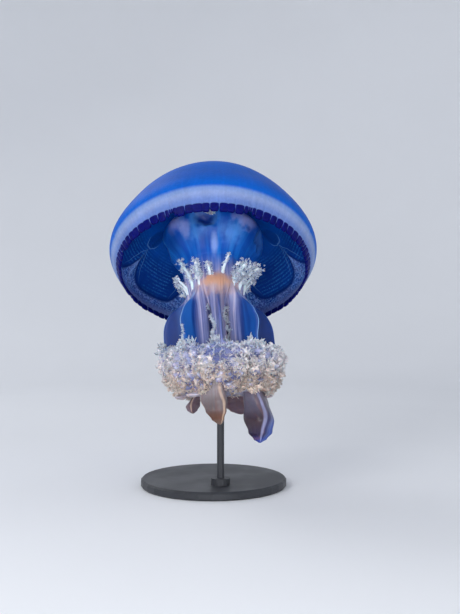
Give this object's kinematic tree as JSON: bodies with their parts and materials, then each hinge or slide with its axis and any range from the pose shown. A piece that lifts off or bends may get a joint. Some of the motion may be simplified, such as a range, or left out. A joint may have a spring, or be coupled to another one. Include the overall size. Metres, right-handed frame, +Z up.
{
  "type": "barrel jellyfish model",
  "caption": "Still life-size barrel jellyfish: tilted blue dome bell with a lappeted violet rim, frilled mouth arms with hanging clubs, held by one rod on a round base.",
  "frame": {"origin": "middle of the underside of the stand's round base", "axes": "+Z up; -Y is the side that the open mouth of the bell faces, and the crown leans back towards +Y; +X is to the right seen from -Y"},
  "size_m": [0.3, 0.2847, 0.4677],
  "materials": {
    "bell": "wet translucent blue jelly",
    "margin": "wet violet lappets under a pale lilac band",
    "oral_mass": "wet translucent blue jelly",
    "column": "wet lilac jelly with blue blades",
    "frills": "soft white frills",
    "clubs": "wet grey-brown jelly with blue edges",
    "stand": "satin black"
  },
  "bodies": {
    "root": {"bell_dome": "bell", "bell_margin_1": "margin", "bell_margin_2": "margin", "bell_margin_3": "margin", "bell_margin_4": "margin", "bell_margin_5": "margin", "bell_margin_6": "margin", "bell_margin_7": "margin", "bell_margin_8": "margin", "gastric_pillar_1": "oral_mass", "gastric_pillar_2": "oral_mass", "gastric_pillar_3": "oral_mass", "gastric_pillar_4": "oral_mass", "oral_disc": "oral_mass", "manubrium": "column", "scapulets_1": "frills", "scapulets_2": "frills", "scapulets_3": "frills", "scapulets_4": "frills", "scapulets_5": "frills", "scapulets_6": "frills", "scapulets_7": "frills", "scapulets_8": "frills", "arm_blade_1": "column", "arm_blade_2": "column", "arm_blade_3": "column", "arm_blade_4": "column", "arm_blade_5": "column", "arm_blade_6": "column", "arm_blade_7": "column", "arm_blade_8": "column", "arm_frills_1": "frills", "arm_frills_2": "frills", "arm_frills_3": "frills", "arm_frills_4": "frills", "arm_frills_5": "frills", "arm_frills_6": "frills", "arm_frills_7": "frills", "arm_frills_8": "frills", "arm_club_1": "clubs", "arm_club_2": "clubs", "arm_club_3": "clubs", "arm_club_4": "clubs", "arm_club_5": "clubs", "arm_club_6": "clubs", "arm_club_7": "clubs", "arm_club_8": "clubs", "stand_base": "stand", "stand_rod": "stand"}
  },
  "joints": []
}
